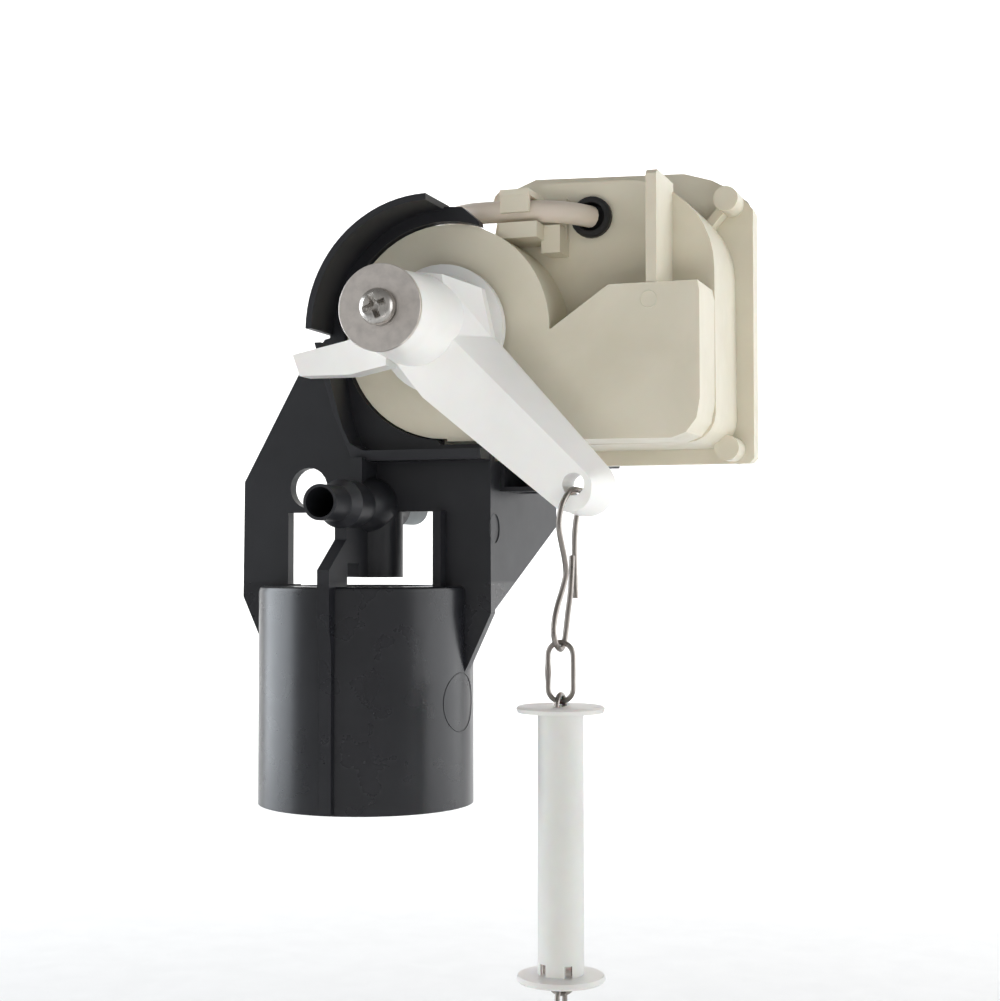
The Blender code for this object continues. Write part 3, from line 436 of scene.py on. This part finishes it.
def lathe(shape, profile, steps):
    """Adds a turned closed body to a mesh. The profile is (radius, height), from axis to axis."""
    rings = []
    for radius, height in profile:
        if radius < 1e-6:
            rings.append([shape.verts.new((0, 0, height * MM))])
            continue
        ring = []
        for i in range(steps):
            angle = 2 * math.pi * i / steps
            ring.append(shape.verts.new((radius * MM * math.cos(angle), radius * MM * math.sin(angle),
                                         height * MM)))
        rings.append(ring)
    for upper, lower in zip(rings, rings[1:]):
        for i in range(steps):
            j = (i + 1) % steps
            if len(upper) == 1:
                shape.faces.new((upper[0], lower[i], lower[j]))
            elif len(lower) == 1:
                shape.faces.new((upper[i], lower[0], upper[j]))
            else:
                shape.faces.new((upper[i], lower[i], lower[j], upper[j]))


def to_mesh(name, shape, finish=None, smooth_faces=True):
    bmesh.ops.recalc_face_normals(shape, faces=shape.faces[:])
    for face in shape.faces:
        face.smooth = smooth_faces
    data = bpy.data.meshes.new(name)
    shape.to_mesh(data)
    shape.free()
    if finish:
        data.materials.append(finish)
    return link(name, data)


def apply_modifiers(piece):
    bpy.context.view_layer.update()
    evaluated = piece.evaluated_get(bpy.context.evaluated_depsgraph_get())
    data = bpy.data.meshes.new_from_object(evaluated)
    piece.modifiers.clear()
    piece.data = data


def subtract(piece, tool):
    """Cuts the tool out of the piece and removes the tool."""
    step = piece.modifiers.new("cut", "BOOLEAN")
    step.operation = "DIFFERENCE"
    step.solver = "EXACT"
    step.object = tool
    step.use_self = True
    apply_modifiers(piece)
    bpy.data.objects.remove(tool, do_unlink=True)


def soften(piece, bevel):
    """Small round edges on a piece made here."""
    round_edges(piece, bevel, SMALL_BEVEL_STEPS, SMALL_BEVEL_ANGLE)


CLEAR_ABOVE = 0.4  # how far the recess tool stands above its mouth
# A round pan head, as shares of its radius and height, from just off its middle to its underside
PAN_HEAD = (
    (0.35, 0.995), (0.6, 0.955), (0.78, 0.86), (0.9, 0.7), (0.97, 0.46), (1.0, 0.2), (1.0, 0.05), (0.98, 0),
)


def cross_recess(radius, depth):
    """A tapered cross with a pointed middle, which cuts a screw's recess. Its mouth is at z = 0."""
    shape = bmesh.new()
    levels = ((CLEAR_ABOVE, 1.06, 0.25), (-0.55 * depth, 0.72, 0.19), (-depth, 0.34, 0.13))
    for turn in (0, math.pi / 2):
        ends = []
        for height, long, wide in levels:
            ring = []
            for sx, sy in ((1, 1), (-1, 1), (-1, -1), (1, -1)):
                x, y = sx * long * radius, sy * wide * radius
                ring.append(shape.verts.new(((x * math.cos(turn) - y * math.sin(turn)) * MM,
                                             (x * math.sin(turn) + y * math.cos(turn)) * MM,
                                             height * MM)))
            ends.append(ring)
        shape.faces.new(ends[0])
        shape.faces.new(ends[-1][::-1])
        for a, b in zip(ends, ends[1:]):
            for i in range(4):
                shape.faces.new((a[i], b[i], b[(i + 1) % 4], a[(i + 1) % 4]))
    middle = [(0, CLEAR_ABOVE), (0.42 * radius, CLEAR_ABOVE), (0.30 * radius, -depth), (0, -depth * 1.35)]
    lathe(shape, middle, 16)
    return to_mesh("cross_recess", shape, smooth_faces=False)


def screw(name, start, direction, head_r, head_h, shank_r, length, body, finish, spin=20):
    """A pan-head screw with a cross recess and a shank ringed like a thread.

    start is the middle of the head's underside, and direction is where the shank points.
    """
    shape = bmesh.new()
    profile = [(0, head_h)] + [(r * head_r, h * head_h) for r, h in PAN_HEAD]
    profile.append((shank_r * 0.86, 0))
    pitch = shank_r * 0.42
    depth = -0.6
    while depth > -(length - shank_r):
        profile += [(shank_r * 0.84, depth), (shank_r, depth - pitch * 0.4), (shank_r, depth - pitch * 0.5)]
        depth -= pitch
    profile += [(shank_r * 0.8, -(length - shank_r * 0.8)), (0, -length)]
    lathe(shape, profile, 36)
    piece = to_mesh(name, shape)
    tool = cross_recess(head_r * 0.74, head_h * 0.7)
    tool.location = (0, 0, head_h * MM)
    subtract(piece, tool)
    turn = (-Vector(direction)).to_track_quat("Z", "Y").to_matrix().to_4x4()
    spun = Matrix.Rotation(math.radians(spin), 4, "Z")
    piece.data.transform(Matrix.Translation(Vector(start) * MM) @ turn @ spun)
    piece.data.materials.clear()
    piece.data.materials.append(finish)
    soften(piece, 0.05)
    return settle(piece, body, "stainless_steel", name.replace("_detail", ""))


# ---------------------------------------------------------------- the lead

def lead_path():
    """The route out of the grommet, then the coil in two layers, then the curl down to the connector."""
    route = smooth(LEAD_ROUTE, ROUTE_STEP)
    turns = []
    steps = int(COIL_TURNS * STEPS_PER_TURN)
    for i in range(steps + 1):
        travelled = COIL_TURNS * i / steps
        angle = 180 + 360 * travelled
        phase = math.radians(-90 + 90 * travelled)
        radius = COIL_R - TURN_OFFSET * math.cos(phase + math.pi)
        x, z = polar(COIL, radius, angle)
        turns.append(Vector((x, COIL_Y + TURN_OFFSET * math.sin(phase), z)))
    curl = []
    for i in range(TAIL_STEPS + 1):
        x, z = polar(TAIL_CENTRE, TAIL_R, TAIL_FROM + TAIL_SWEEP * i / TAIL_STEPS)
        curl.append(Vector((x, TAIL_Y, z)))
    end = Vector((TAIL_CENTRE[0] - TAIL_R, TAIL_Y, TAIL_END))
    return route + smooth([route[-1]] + turns[2:-2] + curl + [end], COIL_STEP)[1:]


def make_lead(finishes):
    lead = wire("power_lead_jacket", lead_path(), LEAD_R, finishes["lead_jacket"])
    settle(lead, "housing", "lead_jacket", "power_lead", "lead_coil", "lead_tail")
    tie = refined("lead_tie", "housing", finishes["rubber"], "black_plastic", 0.3)
    plug = make_connector(finishes)


def solid_box(shape, x, y, z):
    """Adds a block to a mesh. Each of x, y and z is (low, high)."""
    size = Matrix.Diagonal(((x[1] - x[0]) * MM, (y[1] - y[0]) * MM, (z[1] - z[0]) * MM, 1))
    middle = Vector((x[0] + x[1], y[0] + y[1], z[0] + z[1])) * MM / 2
    bmesh.ops.create_cube(shape, size=1, matrix=Matrix.Translation(middle) @ size)


def make_connector(finishes):
    """A two-pole wire housing with a latch, two open sockets below and grooves for the fingers."""
    low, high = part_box("lead_connector")
    (x0, y0, z0), (x1, y1, z1) = low / MM, high / MM
    middle = (x0 + x1) / 2
    shape = bmesh.new()
    solid_box(shape, (x0, x1), (y0, y1 - 0.9), (z0, z1))
    piece = to_mesh("lead_connector_shell", shape, smooth_faces=False)
    shape = bmesh.new()
    for side in (-1, 1):
        x = middle + side * 2.0
        solid_box(shape, (x - 1.35, x + 1.35), (y0 + 0.75, y1 - 1.65), (z0 - 1, z0 + 6.5))
    for i in range(4):
        z = z1 - 1.4 - 1.3 * i
        solid_box(shape, (x0 - 1, x0 + 0.35), (y0 - 1, y1 + 1), (z - 0.3, z + 0.3))
        solid_box(shape, (x1 - 0.35, x1 + 1), (y0 - 1, y1 + 1), (z - 0.3, z + 0.3))
    subtract(piece, to_mesh("connector_cut", shape, smooth_faces=False))
    piece.data.materials.clear()
    piece.data.materials.append(finishes["connector_plastic"])
    soften(piece, 0.15)
    settle(piece, "housing", "connector_plastic", "lead_connector")
    shape = bmesh.new()
    solid_box(shape, (middle - 1.7, middle + 1.7), (y1 - 0.85, y1), (z0 + 0.6, z1 - 2.5))
    solid_box(shape, (middle - 2.2, middle + 2.2), (y1 - 0.8, y1 - 0.05), (z1 - 2.4, z1 - 0.8))
    latch = to_mesh("lead_connector_latch", shape, finishes["connector_plastic"], smooth_faces=False)
    soften(latch, 0.12)
    settle(latch, "housing", "connector_plastic")
    latch.parent = piece
    latch.matrix_parent_inverse = piece.matrix_world.inverted()
    return piece


# ---------------------------------------------------------------- the chain

def oval(top, length, front):
    """A link's middle line, in the XZ plane for a front link and in the YZ plane for a side link."""
    straight = length - 2 * LINK_HALF
    points = []
    for i in range(ARC_STEPS + 1):
        points.append(polar((0, top - LINK_HALF), LINK_HALF, 180 * i / ARC_STEPS))
    for i in range(1, SIDE_STEPS):
        points.append((-LINK_HALF, top - LINK_HALF - straight * i / SIDE_STEPS))
    for i in range(ARC_STEPS + 1):
        points.append(polar((0, top - LINK_HALF - straight), LINK_HALF, 180 + 180 * i / ARC_STEPS))
    for i in range(1, SIDE_STEPS):
        points.append((LINK_HALF, top - LINK_HALF - straight + straight * i / SIDE_STEPS))
    if front:
        return [(CHAIN_X + u, CHAIN_Y, z) for u, z in points]
    return [(CHAIN_X, CHAIN_Y + u, z) for u, z in points]


def make_chain(finishes):
    steel = finishes["wire_steel"]
    hook = wire("wire_hook_bent", smooth(HOOK_POINTS, WIRE_STEP), HOOK_WIRE_R, steel)
    settle(hook, "hook", "stainless_steel", "wire_hook")
    above = HOOK_BOTTOM_Z
    for i, body in enumerate(LINK_BODIES):
        top = above + LINK_STEP
        length = FIRST_LINK if i == 0 else NEXT_LINK
        front = i % 2 == 0
        points = oval(top, length, front)
        weld = WELD_ON_FRONT_LINK if front else WELD_ON_SIDE_LINK
        radii = [1 + WELD_SWELL * math.exp(-((k - weld) / WELD_SPREAD) ** 2) for k in range(len(points))]
        piece = wire(f"chain_link_{i + 1}_welded", points, WIRE_R, steel, True, radii)
        settle(piece, body, "stainless_steel", f"chain_link_{i + 1}")
        above = top - length
    top = above + LINK_STEP
    bend = [polar(END_HOOK_BEND, END_HOOK_BEND_R, -180 * i / END_HOOK_BEND_STEPS)
            for i in range(END_HOOK_BEND_STEPS + 1)]
    points = [*END_HOOK_SHANK, *bend, *END_HOOK_TIP]
    route = smooth([(CHAIN_X, CHAIN_Y + y, top + z) for y, z in points], WIRE_STEP)
    end = wire("end_hook_bent", route, HOOK_WIRE_R, steel)
    settle(end, "end_hook", "stainless_steel", "end_hook")


# ---------------------------------------------------------------- the rest

HOUSING_PIECES = (
    ("mounting_bracket", "black_plastic", "black_plastic", 0.3),
    # The refill port plug's grey-blue finish is painted sheen from the backlight
    ("refill_port_plug", "grey_rubber", "grey_rubber", 0.2),
    ("gear_case", "cream_plastic", "cream_plastic", 0.4),
    ("back_cover", "cream_plastic", "cream_plastic", 0.35),
    ("cover_gasket", "rubber", "rubber", 0.1),
    ("cable_grommet", "rubber", "rubber", 0.2),
)
# CAD nodes whose shape is right as it is, and the finish that each one takes
PLAIN_NODES = {
    "gear_plate": "motor_steel", "second_axle": "motor_steel", "first_axle": "motor_steel",
    "motor_can": "motor_steel", "motor_end_cap": "black_plastic", "control_board": "circuit_board",
    "limit_switch": "black_plastic", "shaft_bushing": "bronze", "shaft_seal": "rubber",
    "output_gear": "gear_acetal", "second_gear": "gear_acetal", "first_gear": "gear_acetal",
    "position_cam": "gear_acetal", "motor_pinion": "brass",
}
# A dark strip that paints the shade in the gap round the gearbox nose: its section as (radius, Y), and the arc
# in degrees that it runs over
GAP_SHADE_PROFILE = ((22.46, 2.0), (23.8, 2.0), (24.2, 2.4), (24.2, 3.0), (23.8, 3.4), (22.46, 3.4))
GAP_SHADE_FROM, GAP_SHADE_TO, GAP_SHADE_STEPS = 100, 266, 60
# Screws: places, then (head radius, head height, shank radius)
COVER_SCREWS = ((70.7, 128.4), (70.7, 74.6), (20.5, 131.0), (11.0, 75.2))
COVER_SCREW_Y, COVER_SCREW_SIZE, COVER_SCREW_LENGTH = 44.1, (2.9, 1.8, 1.25), 11.5
FOOT_SCREWS = ((10.0, 20.0, 68.7), (32.5, 12.5, 70.0))
FOOT_SCREW_SIZE, FOOT_SCREW_END_Z = (2.7, 1.8, 1.25), 75.2
ARM_SCREW_Y, ARM_SCREW_SIZE, ARM_SCREW_LENGTH = -36.0, (3.6, 2.4, 1.65), 13.0
# Pin marks: middle and radius of each
MARK_WIRE_R = 0.11
CASE_MARK, CASE_MARK_R = (61.0, 102.7), 1.7
SLEEVE_MARK_AT, SLEEVE_MARK_Z, SLEEVE_MARK_R = math.radians(-8), 21.5, 6.0
GUSSET_X, GUSSET_MARK, GUSSET_MARK_R = 28.0, (1.2, 57.0), 3.1


def circle(centre, radius, steps):
    """Points round a circle, as pairs."""
    turns = [2 * math.pi * i / steps for i in range(steps)]
    return [(centre[0] + radius * math.cos(a), centre[1] + radius * math.sin(a)) for a in turns]


def mould_mark(name, points, finishes, slot):
    """A fine raised ring left by a mould's pin."""
    settle(wire(name, points, MARK_WIRE_R, finishes[slot], closed=True), "housing", slot)


def make_mould_marks(finishes):
    on_case = [(x, 0.0, z) for x, z in circle(CASE_MARK, CASE_MARK_R, 40)]
    mould_mark("case_pin_mark", on_case, finishes, "cream_plastic")
    on_sleeve = []
    for along, z in circle((0, SLEEVE_MARK_Z), SLEEVE_MARK_R, 48):
        around = SLEEVE_MARK_AT + along / SLEEVE_R
        on_sleeve.append((SLEEVE_R * math.cos(around), SLEEVE_R * math.sin(around), z))
    mould_mark("sleeve_pin_mark", on_sleeve, finishes, "black_plastic")
    on_gusset = [(GUSSET_X, y, z) for y, z in circle(GUSSET_MARK, GUSSET_MARK_R, 40)]
    mould_mark("gusset_pin_mark", on_gusset, finishes, "black_plastic")


def make_nose_gap_shade(rubber):
    """A black rubber strip behind the wing plate, round the part of the gearbox nose that the plate goes round,
    which paints the shade in the gap between the nose and the plate.
    """
    shape = bmesh.new()
    sections = []
    for i in range(GAP_SHADE_STEPS + 1):
        angle = GAP_SHADE_FROM + (GAP_SHADE_TO - GAP_SHADE_FROM) * i / GAP_SHADE_STEPS
        section = []
        for radius, y in GAP_SHADE_PROFILE:
            x, z = polar(ARM_AXIS, radius, angle)
            section.append(shape.verts.new((x * MM, y * MM, z * MM)))
        sections.append(section)
    shape.faces.new(sections[0])
    shape.faces.new(sections[-1][::-1])
    for a, b in zip(sections, sections[1:]):
        for i in range(len(GAP_SHADE_PROFILE)):
            j = (i + 1) % len(GAP_SHADE_PROFILE)
            shape.faces.new((a[i], a[j], b[j], b[i]))
    shade_strip = to_mesh("nose_gap_shade_strip", shape, rubber)
    soften(shade_strip, 0.1)
    settle(shade_strip, "housing", "rubber")


def make_housing(finishes):
    for node, finish, slot, bevel in HOUSING_PIECES:
        refined(node, "housing", finishes[finish], slot, bevel)
    steel = finishes["stainless_steel"]
    for i, (x, z) in enumerate(COVER_SCREWS, 1):
        screw(f"cover_screw_{i}_detail", (x, COVER_SCREW_Y, z), (0, -1, 0), *COVER_SCREW_SIZE,
              COVER_SCREW_LENGTH, "housing", steel, 35 * i)
    for i, (x, y, z) in enumerate(FOOT_SCREWS, 1):
        screw(f"bracket_screw_{i}_detail", (x, y, z), (0, 0, 1), *FOOT_SCREW_SIZE,
              FOOT_SCREW_END_Z - z, "housing", steel, 20 * i)
    for node, finish in PLAIN_NODES.items():
        materials = NODES[node].data.materials
        materials.clear()
        materials.append(finishes[finish])
    make_mould_marks(finishes)
    # Painted shade: a dark strip fills the gap round the gearbox nose
    make_nose_gap_shade(finishes["rubber"])


def make_arm(finishes):
    refined("lever_arm", "arm", finishes["white_plastic"], "white_plastic", 0.45)
    refined("output_shaft", "arm", finishes["stainless_steel"], "stainless_steel", 0.2)
    refined("arm_washer", "arm", finishes["washer_steel"], "stainless_steel", 0.12)
    screw("arm_screw_detail", (ARM_AXIS[0], ARM_SCREW_Y, ARM_AXIS[1]), (0, 1, 0), *ARM_SCREW_SIZE,
          ARM_SCREW_LENGTH, "arm", finishes["stainless_steel"])


def main():
    make_camera()
    finishes = build_materials()
    make_lead(finishes)
    make_chain(finishes)
    make_housing(finishes)
    make_arm(finishes)
    refined("float_tube", "float", finishes["float_plastic"], "float_plastic", 0.2)
    make_stage()
    bpy.context.scene.view_settings.view_transform = "Standard"


main()
